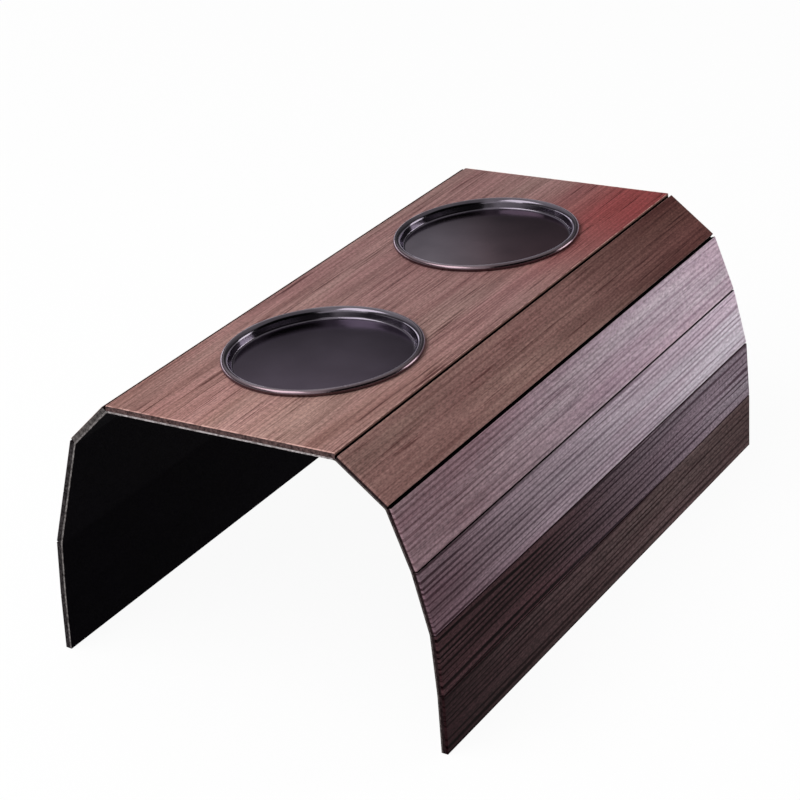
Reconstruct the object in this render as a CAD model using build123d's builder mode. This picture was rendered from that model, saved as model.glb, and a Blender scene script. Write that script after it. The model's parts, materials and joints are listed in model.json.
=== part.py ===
from build123d import *
import math
import os

# Sofa arm tray: a wide centre panel with two dishes, and five slats folded down on each side.
# X runs across the tray, Y along it and Z up. The origin is on the ground, under the middle of the tray.
# All lengths are in millimetres and all angles in degrees.

# Boards
centre_width = 144.0
slat_width = 34.8
tray_length = 370.0
board_thickness = 3.0
arris_radius = 0.35

# Seams between the boards
seam_gap = 0.4
right_turns = (39.0, 32.0, 7.0, 10.5, 3.0)
left_turns = (42.25, 28.75, 0.0, 12.0, 2.0)

# Bendable backing, glued under the boards and free beside each seam
backing_thickness = 1.0
free_reach = 1.4

# Dishes
dish_from_end = 97.5
dish_radius = 55.5
dish_sheet = 0.5
dish_wall_draft = 13.0
dish_corner_radius = 1.3
lip_radius = 3.0
bead_radius = 1.9
bead_curl = 45.0
bead_clearance = 0.2
hole_clearance = 0.4

# Worked out from the sizes above
seam_pitch = slat_width + seam_gap
dish_spacing = tray_length - 2 * dish_from_end
bead_middle = board_thickness + bead_clearance + bead_radius * math.sin(math.radians(bead_curl))
lip_height = lip_radius * (1 - math.sin(math.radians(dish_wall_draft)))
wall_rise = bead_middle + bead_radius - lip_height - dish_sheet
wall_top_radius = dish_radius - bead_radius - lip_radius * math.cos(math.radians(dish_wall_draft))
wall_foot_radius = wall_top_radius - wall_rise * math.tan(math.radians(dish_wall_draft))
hole_radius = wall_top_radius + dish_sheet + hole_clearance


def seam_planes(side, turns, middle=0, underside=0):
    """Section plane of each slat: its origin on the seam, x down the slat and y out of its face."""
    seam = Vector(middle + side * (centre_width + seam_gap) / 2, 0, underside)
    lean = 0
    planes = []
    for turn in turns:
        lean += math.radians(turn)
        down_slat = Vector(side * math.cos(lean), 0, -math.sin(lean))
        planes.append(Plane(origin=seam, x_dir=down_slat, z_dir=(0, -side, 0)))
        seam += down_slat * seam_pitch
    return planes


def slat_corners(planes):
    """The four corners of each slat's section, backing and board together."""
    ends = (seam_gap / 2, seam_gap / 2 + slat_width)
    faces = (-backing_thickness, board_thickness)
    return [plane.from_local_coords((end, face, 0)) for plane in planes for end in ends for face in faces]


# The lie of the slats gives the tray's width and height, and so where the panel stands over the origin.
trial_corners = slat_corners(seam_planes(1, right_turns)) + slat_corners(seam_planes(-1, left_turns))
trial_width = (min(corner.X for corner in trial_corners), max(corner.X for corner in trial_corners))
panel_middle = -sum(trial_width) / 2
panel_underside = -min(corner.Z for corner in trial_corners)

right_planes = seam_planes(1, right_turns, panel_middle, panel_underside)
left_planes = seam_planes(-1, left_turns, panel_middle, panel_underside)
panel_plane = Plane(origin=(panel_middle, 0, panel_underside))
dish_places = {"near_dish": -dish_spacing / 2, "far_dish": dish_spacing / 2}

pieces = []


def keep(part, label):
    """Name a finished piece and put it with the others."""
    part.label = label
    pieces.append(part)


# Centre panel, with a through hole for each dish
with BuildPart() as centre_panel:
    with BuildSketch(panel_plane):
        Rectangle(centre_width, tray_length)
        with GridLocations(0, dish_spacing, 1, len(dish_places)):
            Circle(hole_radius, mode=Mode.SUBTRACT)
    extrude(amount=board_thickness)
    fillet(centre_panel.faces().sort_by(Axis.Z)[-1].outer_wire().edges(), radius=arris_radius)
keep(centre_panel.part, "centre_panel")

# Backing glued under the centre panel
with BuildPart() as centre_backing:
    with BuildSketch(panel_plane):
        Rectangle(centre_width + seam_gap - 2 * free_reach, tray_length)
    extrude(amount=-backing_thickness)
keep(centre_backing.part, "centre_backing")


def make_slat(plane, label):
    """One slat: a straight board with its outer edges eased."""
    with BuildPart() as slat:
        with BuildSketch(plane):
            with Locations((seam_pitch / 2, board_thickness / 2)):
                Rectangle(slat_width, board_thickness)
        extrude(amount=tray_length / 2, both=True)
        outer_face = slat.faces().sort_by(Axis(plane.origin, plane.y_dir))[-1]
        fillet(outer_face.edges(), radius=arris_radius)
    keep(slat.part, label)


def make_backing(plane, is_last, label):
    """The backing glued under one slat, up to where it is free to bend, or to the last slat's edge."""
    far_end = seam_gap / 2 + slat_width if is_last else seam_pitch - free_reach
    with BuildPart() as backing:
        with BuildSketch(plane):
            with Locations(((free_reach + far_end) / 2, -backing_thickness / 2)):
                Rectangle(far_end - free_reach, backing_thickness)
        extrude(amount=tray_length / 2, both=True)
    keep(backing.part, label)


def make_fold(board_before, plane, label):
    """The free strip of backing that bends under one seam, between the two glued stretches."""
    before = Plane(origin=plane.origin, x_dir=board_before.x_dir, z_dir=plane.z_dir)
    with BuildPart() as fold:
        with BuildSketch(Plane.XZ):
            with BuildLine():
                outline = [
                    before.from_local_coords((-free_reach, 0, 0)),
                    plane.origin,
                    plane.from_local_coords((free_reach, 0, 0)),
                    plane.from_local_coords((free_reach, -backing_thickness, 0)),
                    before.from_local_coords((-free_reach, -backing_thickness, 0)),
                ]
                Polyline(*[(point.X, point.Z) for point in outline], close=True)
            make_face()
        extrude(amount=tray_length / 2, both=True)
    keep(fold.part, label)


# Slats, their backing and the folds between, from the panel outwards
for side_name, side, planes in (("right", 1, right_planes), ("left", -1, left_planes)):
    board_before = Plane(origin=panel_plane.origin, x_dir=(side, 0, 0), z_dir=(0, -side, 0))
    for number, plane in enumerate(planes, start=1):
        make_slat(plane, f"{side_name}_slat_{number}")
        make_backing(plane, number == len(planes), f"{side_name}_backing_{number}")
        make_fold(board_before, plane, f"{side_name}_fold_{number}")
        board_before = plane


def make_dish(place, label):
    """A shallow dish spun from sheet: flat floor, rounded corner, steep wall, wide lip and rolled bead.

    The line drawn is the sheet's upper face, and the sheet lies below it and inside the bead.
    The bead curls under on its outer side, down to just above the panel.
    """
    axis_plane = Plane(origin=panel_plane.origin + Vector(0, place, 0), x_dir=(1, 0, 0), z_dir=(0, -1, 0))
    with BuildPart() as dish:
        with BuildSketch(axis_plane):
            with BuildLine():
                upper_face = FilletPolyline(
                    (0, dish_sheet),
                    (wall_foot_radius, dish_sheet),
                    (wall_top_radius, dish_sheet + wall_rise),
                    radius=dish_corner_radius,
                )
                lip = JernArc(upper_face @ 1, upper_face % 1, lip_radius, dish_wall_draft - 90)
                JernArc(lip @ 1, lip % 1, bead_radius, -90 - bead_curl)
                offset(amount=dish_sheet, side=Side.RIGHT, closed=True)
            make_face()
        revolve(axis=Axis(axis_plane.origin, (0, 0, 1)))
    keep(dish.part, label)


for dish_name, place in dish_places.items():
    make_dish(place, dish_name)

os.makedirs("parts", exist_ok=True)
for piece in pieces:
    export_step(piece, f"parts/{piece.label}.step")

feet = {name: min(corner.Z for corner in slat_corners(planes))
        for name, planes in (("right", right_planes), ("left", left_planes))}
print(f"Panel stands {panel_underside:.2f} mm up, feet at {feet['right']:.3f} and {feet['left']:.3f} mm")
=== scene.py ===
import json
import math

import bmesh
import bpy
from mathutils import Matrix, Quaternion, Vector, noise


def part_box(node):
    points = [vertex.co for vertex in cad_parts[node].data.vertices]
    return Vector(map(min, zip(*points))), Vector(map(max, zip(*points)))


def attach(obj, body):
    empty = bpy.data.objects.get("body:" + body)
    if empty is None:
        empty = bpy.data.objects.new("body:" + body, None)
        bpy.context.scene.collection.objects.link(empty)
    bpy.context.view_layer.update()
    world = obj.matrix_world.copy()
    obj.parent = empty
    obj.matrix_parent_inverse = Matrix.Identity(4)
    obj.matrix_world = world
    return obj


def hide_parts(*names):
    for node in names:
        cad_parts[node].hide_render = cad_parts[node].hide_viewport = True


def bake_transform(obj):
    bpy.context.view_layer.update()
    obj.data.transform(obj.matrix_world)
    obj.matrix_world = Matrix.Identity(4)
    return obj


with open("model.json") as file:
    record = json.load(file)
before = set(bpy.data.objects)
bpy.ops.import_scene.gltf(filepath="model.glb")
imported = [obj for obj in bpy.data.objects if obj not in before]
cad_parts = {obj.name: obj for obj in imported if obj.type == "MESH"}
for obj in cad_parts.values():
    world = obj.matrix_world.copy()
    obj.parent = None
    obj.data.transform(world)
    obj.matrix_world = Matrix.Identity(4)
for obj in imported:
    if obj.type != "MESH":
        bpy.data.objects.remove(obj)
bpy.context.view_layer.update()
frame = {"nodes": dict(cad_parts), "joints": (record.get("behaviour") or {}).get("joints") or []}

slats_per_side = 5
# Sizes in metres, the same as the part's
board_thickness = 0.003
half_length = 0.185
seam_pitch = 0.0352
backing_thickness = 0.001
# How far the backing is free from a seam, and how far it reaches under the last slat
free_reach = 0.0014
last_reach = 0.035
# Radius of a dish's flat floor, and of the top of its bead
dish_floor_reach = 0.0488
dish_crest_reach = 0.0536

# Camera, at the photograph's viewing angle
camera_lens = 101.29
camera_sensor = 36
camera_place = (0.6625, -0.9727, 0.6576)
camera_angles = (64.313, 5.291, 32.082)

camera_data = bpy.data.cameras.new("camera")
camera_data.lens = camera_lens
camera_data.sensor_width = camera_sensor
camera = bpy.data.objects.new("camera", camera_data)
camera.location = camera_place
camera.rotation_euler = [math.radians(angle) for angle in camera_angles]
bpy.context.scene.collection.objects.link(camera)
bpy.context.scene.camera = camera
bpy.context.scene.view_settings.view_transform = "Standard"


def linear(red, green, blue):
    """A screen colour of 0 to 255 as the shaders' linear numbers."""
    values = [channel / 255 for channel in (red, green, blue)]
    return [value / 12.92 if value <= 0.04045 else ((value + 0.055) / 1.055) ** 2.4
            for value in values] + [1]


class Looks:
    """A material or world being made: each call adds nodes and returns their output."""

    def __init__(self, tree):
        self.tree = tree
        coordinates = self.add("ShaderNodeTexCoord").outputs
        self.place = coordinates["Object"]
        self.normal = coordinates["Normal"]
        self.direction = coordinates["Generated"]

    def add(self, kind):
        return self.tree.nodes.new(kind)

    def feed(self, socket, value):
        if isinstance(value, bpy.types.NodeSocket):
            self.tree.links.new(value, socket)
        else:
            socket.default_value = value

    def feed_all(self, node, values):
        for socket, value in zip(node.inputs, values):
            self.feed(socket, value)

    def math(self, operation, *values):
        node = self.add("ShaderNodeMath")
        node.operation = operation
        self.feed_all(node, values)
        return node.outputs[0]

    def times(self, first, second):
        return self.math("MULTIPLY", first, second)

    def minus(self, first, second):
        return self.math("SUBTRACT", first, second)

    def plus(self, first, *rest):
        for value in rest:
            first = self.math("ADD", first, value)
        return first

    def scaled(self, value, factor, base):
        """The value times factor, plus base."""
        return self.math("MULTIPLY_ADD", value, factor, base)

    def swing(self, pattern, width):
        """A pattern of 0 to 1 turned into a swing of plus and minus half the width."""
        return self.times(self.minus(pattern, 0.5), width)

    def vector_math(self, operation, *values):
        node = self.add("ShaderNodeVectorMath")
        node.operation = operation
        self.feed_all(node, values)
        return node.outputs["Value" if operation == "DOT_PRODUCT" else "Vector"]

    def dot(self, vector, axis):
        return self.vector_math("DOT_PRODUCT", vector, axis)

    def vector(self, *values):
        node = self.add("ShaderNodeCombineXYZ")
        self.feed_all(node, values)
        return node.outputs[0]

    def step(self, value, start, end):
        """0 before start, 1 past end, and smooth between them."""
        node = self.add("ShaderNodeMapRange")
        node.interpolation_type = "SMOOTHSTEP"
        self.feed_all(node, (value, start, end))
        return node.outputs[0]

    def noise(self, vector, scale=1.0, detail=2.0, roughness=0.5, output=0):
        """Noise from 0 to 1, or with output 1 as a colour."""
        node = self.add("ShaderNodeTexNoise")
        values = {"Vector": vector, "Scale": scale, "Detail": detail, "Roughness": roughness}
        for name, value in values.items():
            self.feed(node.inputs[name], value)
        return node.outputs[output]

    def cell_edges(self, vector, scale):
        """The distance to the nearest border of a pattern of cells."""
        node = self.add("ShaderNodeTexVoronoi")
        node.feature = "DISTANCE_TO_EDGE"
        self.feed(node.inputs["Vector"], vector)
        self.feed(node.inputs["Scale"], scale)
        return node.outputs[0]

    def ramp(self, value, stops, colours):
        """The colours run into each other as the value goes from stop to stop."""
        node = self.add("ShaderNodeValToRGB")
        self.feed(node.inputs[0], value)
        elements = node.color_ramp.elements
        while len(elements) < len(stops):
            elements.new(0.5)
        for element, stop, colour in zip(elements, stops, colours):
            element.position = stop
            element.color = colour
        return node.outputs[0]

    def mix(self, share, first, second, blend="MIX"):
        node = self.add("ShaderNodeMix")
        node.data_type = "RGBA"
        node.blend_type = blend
        # Inputs 6 and 7 and output 2 are the node's colours.
        for index, value in ((0, share), (6, first), (7, second)):
            self.feed(node.inputs[index], value)
        return node.outputs[2]

    def tinted(self, colour, tint):
        return self.mix(1.0, colour, tint, "MULTIPLY")

    def shader(self, values):
        for name, value in values.items():
            self.feed(self.tree.nodes["Principled BSDF"].inputs[name], value)

    def bump(self, height, strength, distance, normal=None):
        node = self.add("ShaderNodeBump")
        for name, value in (("Height", height), ("Strength", strength), ("Distance", distance)):
            self.feed(node.inputs[name], value)
        if normal:
            self.feed(node.inputs["Normal"], normal)
        self.shader({"Normal": node.outputs[0]})


def new_looks(name):
    material = bpy.data.materials.new(name)
    material.use_nodes = True
    return material, Looks(material.node_tree)


class Section:
    """Where one board lies: its seam line, the way down the board and out of its face."""

    def __init__(self, body, seam, down, face):
        self.body, self.seam, self.down, self.face = body, Vector(seam), Vector(down), Vector(face)

    def at(self, down, out):
        return self.seam + self.down * down + self.face * out


# Where each board lies, from the joints: a seam's lower limit is its turn back to flat.
joints = {joint["name"]: joint for joint in frame["joints"]}
panel_low, panel_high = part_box("centre_panel")
panel_middle = (panel_low.x + panel_high.x) / 2
boards = {"centre_panel": Section("centre", (panel_middle, 0, panel_low.z), (1, 0, 0), (0, 0, 1))}
for side_name, side in (("right", 1), ("left", -1)):
    lean = 0
    for number in range(1, slats_per_side + 1):
        joint = joints[f"{side_name}_seam_{number}"]
        lean -= math.radians(joint["range_deg"][0])
        down = (side * math.cos(lean), 0, -math.sin(lean))
        face = (side * math.sin(lean), 0, math.cos(lean))
        boards[f"{side_name}_slat_{number}"] = Section(joint["child"], joint["pos_m"], down, face)

# Noise drawn out along the boards: waves to the metre across and along, detail and roughness
streak_kinds = {
    "wander": (14, 2.6, 1.0, 0.5),
    "figure": (75, 7, 2.0, 0.5),
    "rib_place": (110, 4, 1.0, 0.5),
    "rib_strength": (420, 7, 1.0, 0.5),
    "pore_breaks": (260, 14, 1.0, 0.5),
    "pores": (1050, 24, 1.0, 0.5),
    "hue": (55, 5, 2.0, 0.5),
    "change": (25, 5, 2.0, 0.5),
    "threads": (900, 12, 1.0, 0.5),
    "speck": (1100, 420, 2.0, 0.6),
}
# How far apart in the noise two boards and two kinds of streaks lie
board_spacing = 7.3
kind_spacing = 3.1
# How far the print's lines wander, in metres, and its ribs, in ribs, and how uneven the ribs are
line_wander = 0.004
rib_wander = 1.8
rib_unevenness = 3.2
# How far along the board its near and far tones, with their painted sheen or fall of light, run into each
# other, in metres
change_wander = 0.1
# Where each mark of the print begins in its noise, and where it is full
rib_range = (-0.1, 1.0)
thread_range = (0.6, 0.38)
pore_range = (0.54, 0.68)
pore_break_range = (0.4, 0.62)
# How strongly each mark shows in a plain print and in a fully ribbed one
rib_shares = (0.1, 0.85)
thread_shares = (0.36, 0.2)
pore_shares = (0.62, 0.22)
# How much noise shows as a ramp's first colour, and how much as its last
ramp_ends = (0.3, 0.7)
# The two hues that the print plays between
hue_tints = ((1.05, 0.965, 0.99, 1), (0.965, 1.02, 0.985, 1))
# Patches of the centre panel, a painted warm reflection in its far right corner and painted shade on the
# long sides of
# its near end: where they begin and end along and across it, how strong, and their tint
painted_red_corner_reflection = dict(
    along_reach=(0.0, 0.16), across_reach=(-0.01, 0.055), share=0.92, tint=(0.88, 0.29, 0.31, 1))
painted_shade_near_sides = dict(
    along_reach=(-0.05, -0.16), across_reach=(0.025, 0.06), share=1.0, tint=(0.76, 0.71, 0.71, 1))
# The fine speckle's noise at its darkest and lightest
speck_ramp_ends = (0.25, 0.75)
# How squarely a surface faces out of the board where the rubbed arris begins and stops
arris_starts = (0.3, 0.6)
arris_stops = (0.9, 0.99)
# How far in from the ends the laminate shows wear and a painted highlight, how much lighter these places
# are, their patches, as waves to the metre, detail and roughness, and how strongly they show on a new board
# and on one with much wear
rub_highlight_reach = (0.0012, 0.0004)
rub_highlight_gain = 1.45
rub_noise = (260, 3.0, 0.6)
rub_range = (0.36, 0.6)
wear_highlight_shares = (0.1, 0.85)
# A dark band along a slat's upper edge, painted shade from the seam beside it, as shares of the board's
# thickness
seam_shade_reach = (0.26, 0.12)
# How squarely a surface faces along the tray to be an end, and out of the board not to be a side
end_range = (0.35, 0.6)
side_range = (0.55, 0.3)
# The sawn board's fibres and mottling, and how much they show in the lining
fibre_noise = (1400, 3.0, 0.7)
mottle_noise = (520, 2.0, 0.6)
mottle_share = 0.6
core_ramp_ends = (0.38, 0.62)
lining_mottle = 0.4
# The heights over a board's underside between which its side turns black below the lining, and how softly
# the print begins on its ends
lining_heights = (0.0021, 0.0015)
print_fade = 0.0003
# How rough the print is, and how much rougher its lines and the board's sides are
print_roughness = 0.4
line_roughness = 0.12
side_roughness = 0.35
rough_side_range = (0.8, 0.3)
# The grain's relief: each mark's height as a share of it, the ribs' in plain and ribbed prints, and its
# strength and its depth in metres
rib_heights = (-0.05, -0.4)
thread_height = -0.25
pore_height = -0.4
speck_height = 0.25
wood_bump = 0.45
wood_relief = 0.0001


def part_way(start, end, share):
    return start + (end - start) * share


def wood(name, board, near, far, change, ribbed, pitch, lining, rubbed_and_lit, sawn, seed,
         seam_shade=0.0, specked=0.36, gloss=0.025, patched=False):
    """Printed wood laminate on a fibre board: fine lines along Y, arrises and ends lightened by wear and a
    painted highlight, plain sawn ends.

    near and far are the print's dark lines, darker ground and lighter ground at the tray's two ends, with
    painted
    light in them: a painted sheen or fall of light along the tray, and tones lighter or darker by how the
    board faces the light. change is where along Y the one turns to the other, ribbed is how regular the
    lines are and pitch how far apart, lining is the colour of the board's sides along the seams, rubbed is
    how much wear its ends show and how strongly its ends and arrises carry the painted highlight, sawn is
    the end's two tones and the height that the print turns down to, brim is how dark the painted seam shade
    along the upper edge is, specked is how strong the fine speckle is, and a patched board has the centre
    panel's patches.
    """
    material, looks = new_looks(name)
    along = looks.dot(looks.place, (0, 1, 0))
    across = looks.minus(looks.dot(looks.place, board.down), board.seam.dot(board.down))
    height = looks.minus(looks.dot(looks.place, board.face), board.seam.dot(board.face))
    facing = looks.dot(looks.normal, board.face)
    from_middle = looks.math("ABSOLUTE", along)

    def streaks(kind, line):
        across_scale, along_scale, detail, roughness = streak_kinds[kind]
        layer = seed * board_spacing + list(streak_kinds).index(kind) * kind_spacing
        place = looks.vector(looks.times(line, across_scale), looks.times(along, along_scale), layer)
        return looks.noise(place, 1.0, detail, roughness)

    # Lines run nearly straight, and drift a little over the length of the board.
    line = looks.plus(across, looks.swing(streaks("wander", across), line_wander))
    figure = streaks("figure", line)
    drift = looks.swing(streaks("rib_place", line), rib_wander)
    phase = looks.plus(looks.math("DIVIDE", line, pitch), drift)
    wave = looks.math("SINE", looks.times(phase, 2 * math.pi))
    unevenness = looks.swing(streaks("rib_strength", line), rib_unevenness)
    ribs = looks.step(looks.plus(wave, unevenness), *rib_range)
    threads = looks.step(streaks("threads", line), *thread_range)
    breaks = looks.step(streaks("pore_breaks", line), *pore_break_range)
    pores = looks.times(looks.step(streaks("pores", line), *pore_range), breaks)
    lines = looks.plus(looks.times(ribs, part_way(*rib_shares, ribbed)),
                       looks.times(threads, part_way(*thread_shares, ribbed)),
                       looks.times(pores, part_way(*pore_shares, ribbed)))
    lines = looks.math("MINIMUM", lines, 1.0)
    far_painted_light_share = looks.step(looks.plus(along, looks.swing(streaks("change", line), change_wander)), *change)

    def printed_with_painted_light(dark, *ground):
        return looks.mix(lines, looks.ramp(figure, ramp_ends, ground), dark)

    def patch(colour, place_across, along_reach, across_reach, share, tint):
        area = looks.times(looks.step(along, *along_reach), looks.step(place_across, *across_reach))
        return looks.mix(looks.times(area, share), colour, looks.tinted(colour, tint))

    # The near and far tones, with their painted sheen or fall of light, run into each other along the board.
    colour = looks.mix(far_painted_light_share, printed_with_painted_light(*near), printed_with_painted_light(*far))
    # Painted light on the centre panel: a warm reflection in its far right corner, and shade along the sides
    # of its near end.
    if patched:
        colour = patch(colour, across, **painted_red_corner_reflection)
        colour = patch(colour, looks.math("ABSOLUTE", across), **painted_shade_near_sides)
    colour = looks.tinted(colour, looks.ramp(streaks("hue", line), ramp_ends, hue_tints))
    speck = streaks("speck", line)
    speck_tints = ([1 - specked] * 3 + [1], [1 + specked] * 3 + [1])
    print_and_painted_light = looks.tinted(colour, looks.ramp(speck, speck_ramp_ends, speck_tints))

    # The laminate is lightened on its arrises and at its ends, partly as wear and partly as a painted
    # highlight.
    arris = looks.minus(looks.step(facing, *arris_starts), looks.step(facing, *arris_stops))
    brink = looks.step(from_middle, *[half_length - reach for reach in rub_highlight_reach])
    patchy = looks.step(looks.noise(looks.place, *rub_noise), *rub_range)
    wear_and_highlight = looks.times(looks.math("MAXIMUM", arris, looks.times(brink, rubbed_and_lit)), patchy)
    bare_and_highlight = [channel * rub_highlight_gain for channel in near[2][:3]] + [1]
    # Painted seam shade: a dark band along the upper edge, beside the seam.
    seam_shade_mask = looks.step(across, *[board_thickness * share for share in seam_shade_reach])
    colour = looks.mix(looks.times(seam_shade_mask, seam_shade), print_and_painted_light, black_side)
    colour = looks.mix(looks.times(wear_and_highlight, part_way(*wear_highlight_shares, rubbed_and_lit)), colour, bare_and_highlight)

    # The board below the laminate shows at its ends and along the seams.
    end = looks.step(looks.math("ABSOLUTE", looks.dot(looks.normal, (0, 1, 0))), *end_range)
    fibres = looks.noise(looks.place, *fibre_noise)
    mottled = looks.mix(mottle_share, fibres, looks.noise(looks.place, *mottle_noise))
    *core_tones, print_height = sawn
    core = looks.ramp(mottled, core_ramp_ends, core_tones)
    core = looks.mix(looks.step(height, print_height, print_height + print_fade), core, print_and_painted_light)
    lining = looks.mix(looks.times(fibres, lining_mottle), lining, black_side)
    seam_side = looks.mix(looks.step(height, *lining_heights), lining, black_side)
    colour = looks.mix(looks.step(facing, *side_range), colour, looks.mix(end, seam_side, core))

    grain = looks.plus(looks.times(ribs, part_way(*rib_heights, ribbed)),
                       looks.times(threads, thread_height), looks.times(pores, pore_height),
                       looks.times(speck, speck_height))
    sides = looks.step(facing, *rough_side_range)
    roughness = looks.plus(print_roughness, looks.times(lines, line_roughness),
                           looks.times(sides, side_roughness))
    looks.shader({"Base Color": colour, "Roughness": roughness, "Specular IOR Level": gloss})
    looks.bump(grain, wood_bump, wood_relief)
    return material


def between(first, second, share):
    """Tones part of the way from the first set to the second."""
    return tuple([part_way(start, end, share) for start, end in zip(tone, other)]
                 for tone, other in zip(first, second))


# Looks of each board from the photograph, from the panel outwards: printed tones with painted light in them,
# lighter or darker from board to board by how each faces the light, and with a painted sheen or fall of
# light from the near end to the far one
black_side = linear(10, 6, 6)
brown_ends = (linear(34, 24, 24), linear(92, 73, 72), board_thickness)
grey_ends = (linear(34, 31, 31), linear(96, 91, 90), board_thickness)
black_ends = (linear(8, 7, 8), linear(58, 54, 55), board_thickness)
dark_ends = (linear(16, 9, 10), linear(44, 32, 34), board_thickness / 2)
ends = {"centre": brown_ends, "left": black_ends, "right": dark_ends, "left_slat_1": grey_ends}
board_tones_and_painted_light = {
    "centre_panel": dict(
        near=(linear(78, 45, 42), linear(155, 118, 110), linear(176, 140, 133)),
        far=(linear(74, 46, 46), linear(131, 99, 97), linear(151, 118, 115)),
        change=(-0.22, 0.03), ribbed=0.0, pitch=0.0027, lining=linear(136, 100, 92), rubbed_and_lit=1.0,
        patched=True),
    "slat_1": dict(
        near=(linear(79, 50, 48), linear(120, 90, 86), linear(140, 110, 104)),
        far=(linear(45, 23, 23), linear(79, 46, 44), linear(94, 61, 57)),
        change=(-0.06, 0.2), ribbed=0.15, pitch=0.0031, lining=black_side, rubbed_and_lit=0.4),
    "slat_2": dict(
        near=(linear(76, 52, 58), linear(124, 99, 106), linear(146, 122, 129)),
        far=(linear(143, 120, 136), linear(181, 161, 175), linear(199, 182, 193)),
        change=(-0.14, 0.17), ribbed=0.62, pitch=0.0028, lining=black_side, rubbed_and_lit=0.15),
    "slat_3": dict(
        near=(linear(48, 30, 37), linear(98, 76, 84), linear(118, 97, 106)),
        far=(linear(150, 132, 147), linear(200, 186, 199), linear(216, 206, 218)),
        change=(-0.19, 0.21), ribbed=0.9, pitch=0.003, lining=black_side, rubbed_and_lit=0.1, seam_shade=0.9),
    "slat_4": dict(
        near=(linear(8, 1, 2), linear(51, 31, 34), linear(73, 50, 54)),
        far=(linear(70, 53, 64), linear(121, 107, 118), linear(144, 131, 142)),
        change=(-0.1, 0.21), ribbed=1.0, pitch=0.0037, lining=linear(60, 44, 48), rubbed_and_lit=0.05,
        specked=0.62, gloss=0.012),
    "slat_5": dict(
        near=(linear(4, 1, 1), linear(20, 2, 6), linear(33, 10, 16)),
        far=(linear(34, 17, 19), linear(76, 58, 58), linear(97, 78, 79)),
        change=(-0.24, 0.1), ribbed=0.9, pitch=0.0037, lining=linear(34, 18, 21), rubbed_and_lit=0.05,
        specked=0.62, gloss=0.012),
}
# The near and far tones carry a painted sheen or fall of light. The left side turns away from the light, so
# its
# tones change less along its length: how far each of its ends is from the near tones towards the far ones.
left_near_share = 0.15
left_far_share = 0.45

for seed, (name, board) in enumerate(boards.items()):
    side_name, _, slat_name = name.partition("_")
    look = dict(board_tones_and_painted_light[name if name in board_tones_and_painted_light else slat_name])
    if side_name == "left":
        look.update(near=between(look["near"], look["far"], left_near_share),
                    far=between(look["near"], look["far"], left_far_share))
    look.update(sawn=ends.get(name, ends[side_name]), seed=seed)
    frame["nodes"][name].material_slots[0].material = wood(f"laminate_{name}", board, **look)


# The backing's leather: its tones, and the shares of pebbles and clouds in them
skin_tones = (linear(1, 0, 2), linear(5, 3, 7))
skin_ramp_ends = (0.25, 0.85)
pebble_share = 0.4
cloud_share = 0.6
skin_cloud_scale = 30
# Pebbles of its grain, in cells to the metre, how far their borders stray in metres, and the creases' depth
pebble_scale = 900
pebble_border = 0.22
swirl_scale = 500
stray = 0.0006
crease_noise = (420, 3.0, 0.6)
crease_depth = 0.7
# The threads and patches of its woven core, on the cut edges, and how squarely a surface faces along the
# tray to be a cut edge
thread_noise = (2600, 2.0, 0.7)
patch_noise = (480, 3.0, 0.65)
patch_share = 0.65
weave_ramp_ends = (0.4, 0.6)
cut_range = (0.5, 0.8)
# How rough it is, how much smoother its pebbles are, and the grain's strength and its depth in metres
leather_roughness = 0.78
pebble_smoothness = 0.12
leather_gloss = 0.012
leather_bump = 0.6
leather_relief = 0.0001


def leather(name, core_tones):
    """Black grained backing cloth, with its paler woven core showing on cut edges."""
    material, looks = new_looks(name)
    swirl = looks.noise(looks.place, swirl_scale, output=1)
    strayed = looks.vector_math("MULTIPLY_ADD", swirl, (stray, stray, stray), looks.place)
    pebbles = looks.step(looks.cell_edges(strayed, pebble_scale), 0.0, pebble_border)
    creases = looks.noise(looks.place, *crease_noise)
    cloudy = looks.noise(looks.place, skin_cloud_scale)
    grained = looks.plus(looks.times(pebbles, pebble_share), looks.times(cloudy, cloud_share))
    skin = looks.ramp(grained, skin_ramp_ends, skin_tones)
    threads = looks.noise(looks.place, *thread_noise)
    weave = looks.mix(patch_share, threads, looks.noise(looks.place, *patch_noise))
    core = looks.ramp(weave, weave_ramp_ends, core_tones)
    cut = looks.step(looks.math("ABSOLUTE", looks.dot(looks.normal, (0, 1, 0))), *cut_range)
    looks.shader({"Base Color": looks.mix(cut, skin, core),
                  "Roughness": looks.scaled(pebbles, -pebble_smoothness, leather_roughness),
                  "Specular IOR Level": leather_gloss})
    looks.bump(looks.plus(pebbles, looks.times(creases, crease_depth)), leather_bump, leather_relief)
    return material


pale_leather = leather("backing_leather_pale_edge", (linear(104, 97, 97), linear(176, 169, 170)))
grey_leather = leather("backing_leather_grey_edge", (linear(58, 54, 54), linear(128, 123, 122)))
dark_leather = leather("backing_leather_dark_edge", (linear(40, 35, 35), linear(92, 85, 83)))

# How the cloth pieces' meshes are divided: rows along Y, and steps across
sweep_rows = 74
centre_steps = 12
slat_steps = 5
fold_steps = 8
# The cloth's slight unevenness: waves to the metre, and depth in metres
unevenness_scale = 60
unevenness_depth = 0.00003
# Its cut ends, which face this squarely along Y or more, are flat, and edges sharper than this stay sharp.
flat_facing = 0.9
sharp_edge = math.radians(40)


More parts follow.
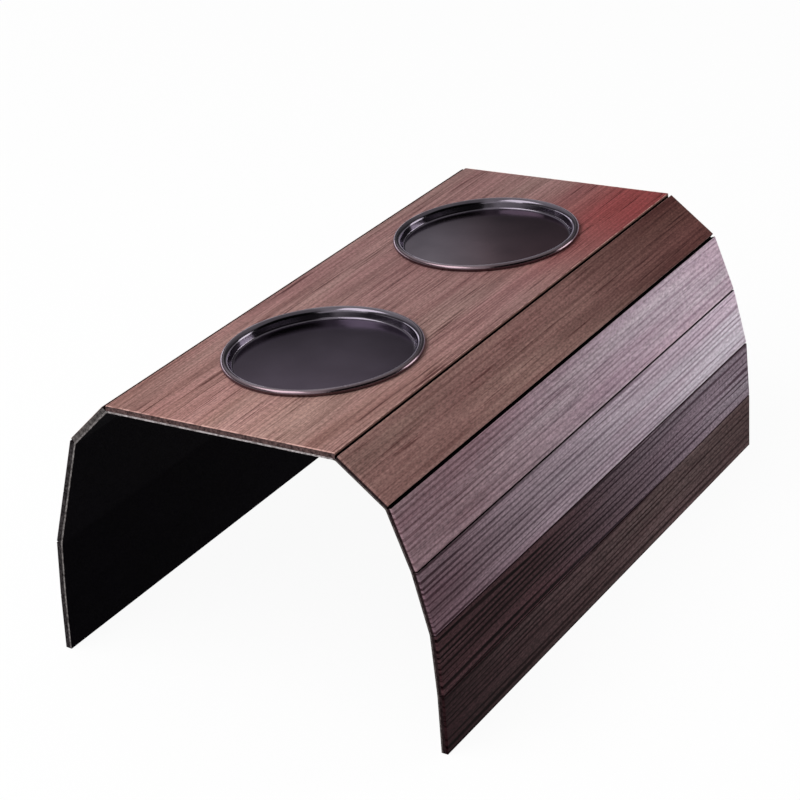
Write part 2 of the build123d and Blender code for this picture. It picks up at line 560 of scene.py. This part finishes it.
def sweep(name, outline, looks):
    """A cloth piece of one closed section, run along Y and very slightly uneven."""
    mesh = bmesh.new()
    middle = sum(outline, Vector()) / len(outline)
    rings = []
    for row in range(sweep_rows + 1):
        place = -half_length + 2 * half_length * row / sweep_rows
        ring = []
        for point in outline:
            corner = Vector((point.x, place, point.z))
            shift = unevenness_depth * noise.noise(corner * unevenness_scale)
            inward = (middle - point).normalized()
            ring.append(mesh.verts.new(corner + inward * abs(shift)))
        rings.append(ring)
    for before, after in zip(rings, rings[1:]):
        for index in range(len(outline)):
            mesh.faces.new((before[index - 1], before[index], after[index], after[index - 1]))
    mesh.faces.new(rings[0])
    mesh.faces.new(reversed(rings[-1]))
    bmesh.ops.recalc_face_normals(mesh, faces=mesh.faces)
    data = bpy.data.meshes.new(name)
    mesh.to_mesh(data)
    mesh.free()
    for polygon in data.polygons:
        polygon.use_smooth = abs(polygon.normal.y) < flat_facing
    data.set_sharp_from_angle(angle=sharp_edge)
    piece = bpy.data.objects.new(name, data)
    bpy.context.scene.collection.objects.link(piece)
    data.materials.append(looks)
    return piece


def level(board, start, end, out, steps):
    """Points at one height over a board's underside, from start to end down the board."""
    return [board.at(start + (end - start) * step / steps, out) for step in range(steps + 1)]


# Backing: one cloth under the centre panel, and one from each seam to the next that bends under its seam
low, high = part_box("centre_backing")
centre = boards["centre_panel"]
reach = (high.x - low.x) / 2
outline = level(centre, -reach, reach, 0, centre_steps)
outline += level(centre, reach, -reach, -backing_thickness, centre_steps)
piece = sweep("backing_cloth_centre", outline, pale_leather)
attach(piece, "centre")
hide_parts("centre_backing")

for side_name, side in (("right", 1), ("left", -1)):
    before = Section("centre", (0, 0, 0), (side, 0, 0), (0, 0, 1))
    for number in range(1, slats_per_side + 1):
        board = boards[f"{side_name}_slat_{number}"]
        before = Section(before.body, board.seam, before.down, before.face)
        far_end = last_reach if number == slats_per_side else seam_pitch - free_reach
        fold_start = before.at(-free_reach, -backing_thickness)
        fold_end = board.at(free_reach, -backing_thickness)
        # The free strip's underside curves past the knee, where the undersides on its two sides would meet.
        turn = before.down.angle(board.down)
        knee = board.at(backing_thickness * math.tan(turn / 2), -backing_thickness)
        fold = []
        for step in range(1, fold_steps):
            share = step / fold_steps
            rest = 1 - share
            fold.append(fold_end * rest ** 2 + knee * 2 * share * rest + fold_start * share ** 2)
        outline = [before.at(-free_reach, 0), board.seam.copy()]
        outline += level(board, free_reach, far_end, 0, slat_steps)
        outline += level(board, far_end, free_reach, -backing_thickness, slat_steps)
        outline += fold + [fold_start]
        edged_leather = dark_leather if side == 1 else grey_leather
        piece = sweep(f"backing_cloth_{side_name}_{number}", outline, edged_leather)
        before.at(-free_reach, 0)
        board.at(free_reach, 0)
        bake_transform(piece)
        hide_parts(f"{side_name}_backing_{number}", f"{side_name}_fold_{number}")
        before = board

# Dishes: tones of the bead, of its outer side and of the painted highlight on its crest, the metal's tint at
# grazing angles, and how much of the outer side's tone and of the crest's painted highlight shows
bead_tones = (linear(81, 76, 84), linear(95, 90, 97))
outer_tone = linear(107, 89, 94)
crest_highlight_tone = linear(176, 162, 165)
metal_tint = (0.95, 0.9, 1.0, 1)
outer_share = 0.8
crest_highlight_share = 0.33
# How far past the floor's edge and past the bead's top, in metres, these looks begin and are full
bead_start = (-0.0008, 0.0006)
outer_start = (0.0004, 0.0012)
crest_start = (-0.0012, 0.0)
crest_stop = (0.0014, 0.0)
# How rough the metal is, and how much the bead, its outer side and the metal's clouds change that
metal_roughness = 0.17
bead_smoothness = 0.04
outer_roughness = 0.05
cloud_roughness = 0.06
# Waves to the metre of the turning marks and of the metal's skin, and the noise of its clouds
turning_scale = 1500
skin_scale = 1300
cloud_noise = (45, 3.0)
# Relief of the metal in metres: turning marks, and the skin's on the floor and how much less on the bead
turning_depth = 0.000002
skin_depth = 0.000003
skin_loss = 0.0000024
# From the dishes towards the tray's far right corner, and where along this way the floor's tone changes, as
# a painted reflection of the red corner
corner_way = (0.83, 0.56)
painted_reflection_reach = (-0.04, 0.04)
plain = (1, 1, 1, 1)


def dish_metal(name, node, floor_tones, painted_reflection_tints, dome, lean):
    """Dark satin metal, spun: a soft sheen on the floor, a glossier wall, and a bead with a painted
    highlight on its crest.

    flush is how the floor's tone changes towards the tray's far right corner, a painted reflection: lighter
    away from that corner, darker and redder towards it. The thin floor isn't quite flat: dome is how it
    bulges, and lean how its middle tips in x and y.
    """
    material, looks = new_looks(name)
    lowest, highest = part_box(node)
    middle = (lowest + highest) / 2
    x = looks.minus(looks.dot(looks.place, (1, 0, 0)), middle.x)
    y = looks.minus(looks.dot(looks.place, (0, 1, 0)), middle.y)
    reach = looks.math("SQRT", looks.plus(looks.times(x, x), looks.times(y, y)))
    rings = looks.noise(looks.vector(looks.times(reach, turning_scale), 0.0, 0.0))
    skin = looks.noise(looks.place, skin_scale)
    cloudy = looks.noise(looks.place, *cloud_noise)

    def step_out(radius, offsets):
        return looks.step(reach, *[radius + offset for offset in offsets])

    bead = step_out(dish_floor_reach, bead_start)
    outer = step_out(dish_crest_reach, outer_start)
    crest = looks.times(step_out(dish_crest_reach, crest_start), step_out(dish_crest_reach, crest_stop))

    # A painted reflection on the floor: lighter away from the tray's far right corner, darker and redder
    # towards it.
    cornerwards = looks.plus(looks.times(x, corner_way[0]), looks.times(y, corner_way[1]))
    painted_reflection_tint = looks.ramp(looks.step(cornerwards, *painted_reflection_reach), (0.0, 0.5, 1.0), painted_reflection_tints)
    floor_colour = looks.tinted(looks.ramp(cloudy, ramp_ends, floor_tones), painted_reflection_tint)
    bead_colour = looks.ramp(cloudy, ramp_ends, bead_tones)
    bead_colour = looks.mix(looks.times(outer, outer_share), bead_colour, outer_tone)
    colour = looks.mix(bead, floor_colour, bead_colour)
    # The crest is lightened with a painted highlight.
    colour = looks.mix(looks.times(crest, crest_highlight_share), colour, crest_highlight_tone)
    roughness = looks.plus(metal_roughness, looks.times(bead, -bead_smoothness),
                           looks.times(outer, outer_roughness), looks.swing(cloudy, cloud_roughness))
    looks.shader({"Base Color": colour, "Metallic": 1.0, "Roughness": roughness,
                  "Specular Tint": metal_tint})

    flat = looks.minus(1.0, bead)
    tips = [looks.times(looks.scaled(offset, dome, tip), flat) for offset, tip in zip((x, y), lean)]
    normal = looks.add("ShaderNodeNewGeometry").outputs["Normal"]
    tipped = looks.vector_math("NORMALIZE", looks.vector_math("ADD", normal, looks.vector(*tips)))
    relief = looks.times(skin, looks.scaled(bead, -skin_loss, skin_depth))
    looks.bump(looks.plus(looks.times(rings, turning_depth), relief), 1.0, 1.0, tipped)
    return material


# The far dish's floor tones are painted a little lighter than the near dish's, and only its floor carries
# the painted reflection.
dishes = {
    "near_dish": dict(floor_tones=(linear(66, 57, 67), linear(77, 68, 79)), painted_reflection_tints=(plain, plain, plain),
                      dome=1.0, lean=(0.0, 0.0)),
    "far_dish": dict(floor_tones=(linear(73, 65, 71), linear(85, 76, 83)),
                     painted_reflection_tints=((1.1, 1.2, 1.14, 1), (1.16, 1.0, 0.94, 1), (0.7, 0.48, 0.47, 1)),
                     dome=2.0, lean=(0.046, -0.074)),
}
for node, look in dishes.items():
    frame["nodes"][node].material_slots[0].material = dish_metal(f"spun_metal_{node}", node, **look)


def seen_directly(looks, share):
    """The share for rays that show the background: straight from the camera, mirrored or seen through."""
    path = looks.add("ShaderNodeLightPath")
    seen = looks.math("MAXIMUM", path.outputs["Is Camera Ray"], path.outputs["Is Glossy Ray"])
    seen = looks.math("MAXIMUM", seen, path.outputs["Is Transmission Ray"])
    return looks.times(seen, share)


# Floor, just under the tray: it keeps a shadow, and is otherwise seen plain white
floor_reach = 6
floor_drop = 0.0002
floor_tone = (0.82, 0.82, 0.82, 1)
floor_roughness = 0.9
floor_white_share = 0.94

corners = ((-1, -1), (1, -1), (1, 1), (-1, 1))
floor_mesh = bpy.data.meshes.new("floor")
floor_mesh.from_pydata([(floor_reach * x, floor_reach * y, 0) for x, y in corners], [], [(0, 1, 2, 3)])
floor = bpy.data.objects.new("floor", floor_mesh)
floor.location.z = -floor_drop
bpy.context.scene.collection.objects.link(floor)
floor_material, looks = new_looks("floor")
looks.shader({"Base Color": floor_tone, "Roughness": floor_roughness})
white = looks.add("ShaderNodeEmission")
white.inputs["Strength"].default_value = 1.0
blend = looks.add("ShaderNodeMixShader")
floor_shader = looks.tree.nodes["Principled BSDF"]
looks.feed_all(blend, (seen_directly(looks, floor_white_share), floor_shader.outputs[0], white.outputs[0]))
looks.feed(looks.tree.nodes["Material Output"].inputs["Surface"], blend.outputs[0])
floor_mesh.materials.append(floor_material)

# World: plain white where it is seen, and half as bright where it lights the tray
world_light = 0.5
# Its backdrop in reflections: how far up it darkens, and how much
dusk_rise = (0.06, 0.3)
dusk_depth = 0.96
# Pale again overhead, and more so on the left, then paler still at the top
overhead_rise = (0.26, 0.56)
overhead_light = 0.2
left_light = 0.56
left_way = (-0.848, -0.53, 0)
left_reach = (-0.04, 0.06)
top_rise = (0.45, 0.75)
top_light = 0.35
# A dark screen on the right
screen_way = (0.966, -0.259, 0)
screen_reach = (0.45, 0.65)
screen_depth = 0.97

world = bpy.data.worlds.new("world")
bpy.context.scene.world = world
world.use_nodes = True
glow = world.node_tree.nodes["Background"]
looks = Looks(world.node_tree)
plain_light = looks.scaled(seen_directly(looks, 1.0), 1 - world_light, world_light)
rise = looks.dot(looks.direction, (0, 0, 1))
dusk = looks.step(rise, *dusk_rise)
left = looks.step(looks.dot(looks.direction, left_way), *left_reach)
overhead = looks.times(looks.step(rise, *overhead_rise), looks.scaled(left, left_light, overhead_light))
overhead = looks.plus(overhead, looks.times(looks.step(rise, *top_rise), top_light))
screen = looks.step(looks.dot(looks.direction, screen_way), *screen_reach)
studio = looks.times(looks.plus(looks.scaled(dusk, -dusk_depth, 1.0), overhead),
                     looks.scaled(screen, -screen_depth, 1.0))
mirrored = looks.add("ShaderNodeLightPath").outputs["Is Glossy Ray"]
looks.feed(glow.inputs["Strength"], looks.plus(looks.times(plain_light, looks.minus(1.0, mirrored)),
                                               looks.times(mirrored, studio)))
glow.inputs["Color"].default_value = (1, 1, 1, 1)


def softbox(name, place, target, size, power, roll=0):
    """A lamp that faces its target, in metres and watts, rolled by some degrees."""
    lamp = bpy.data.lights.new(name, "AREA")
    lamp.shape = "RECTANGLE"
    lamp.size, lamp.size_y = size
    lamp.energy = power
    holder = bpy.data.objects.new(name, lamp)
    holder.location = place
    aim = (Vector(target) - Vector(place)).to_track_quat("-Z", "Y")
    holder.rotation_euler = (aim @ Quaternion((0, 0, 1), math.radians(roll))).to_euler()
    bpy.context.scene.collection.objects.link(holder)


softbox("key", place=(-0.55, -0.87, 1.5), target=(0, 0, 0.1), size=(1.5, 1.0), power=23, roll=-30)
softbox("right_back", place=(1.3, 1.5, 0.35), target=(0.1, 0.1, 0.1), size=(0.9, 0.9), power=14)
softbox("front_fill", place=(0.2, -1.8, 0.9), target=(0, 0, 0.1), size=(2.0, 1.1), power=8)
softbox("left_strip", place=(-1.62, 0.35, 0.4), target=(0, 0, 0.16), size=(1.4, 0.25), power=3)
